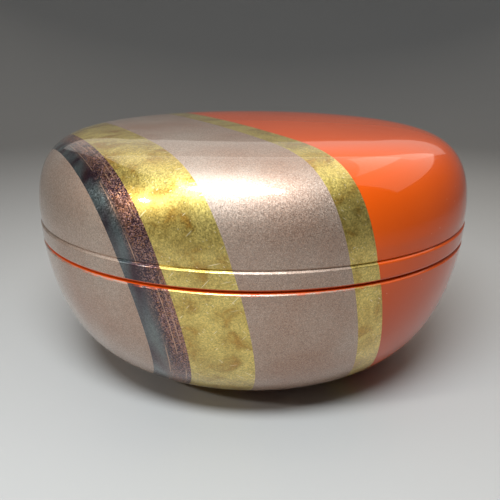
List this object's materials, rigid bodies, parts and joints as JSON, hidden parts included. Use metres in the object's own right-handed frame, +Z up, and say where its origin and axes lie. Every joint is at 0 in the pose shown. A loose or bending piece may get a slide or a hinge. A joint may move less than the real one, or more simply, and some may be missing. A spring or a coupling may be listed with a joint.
{
  "type": "round lidded food box",
  "caption": "Round lacquered food box on a low foot ring, with a domed lid that lifts off, decorated with slanting metal-coloured bands on vermilion.",
  "frame": {"origin": "centre of the foot ring's underside, on the surface that the box stands on", "axes": "+Z up along the axis that the box is turned about; -Y is the front, the side that the picture shows; +X is to the right seen from the front"},
  "size_m": [0.22, 0.22, 0.1211],
  "materials": {
    "body_lacquer": "polished vermilion lacquer on turned wood, with bands of silver, gold and dark iridescent powder under a clear coat",
    "lid_lacquer": "polished vermilion lacquer on turned wood, with bands of silver, gold and dark iridescent powder under a clear coat"
  },
  "bodies": {
    "root": {"body": "body_lacquer", "lid": "lid_lacquer"}
  },
  "joints": []
}
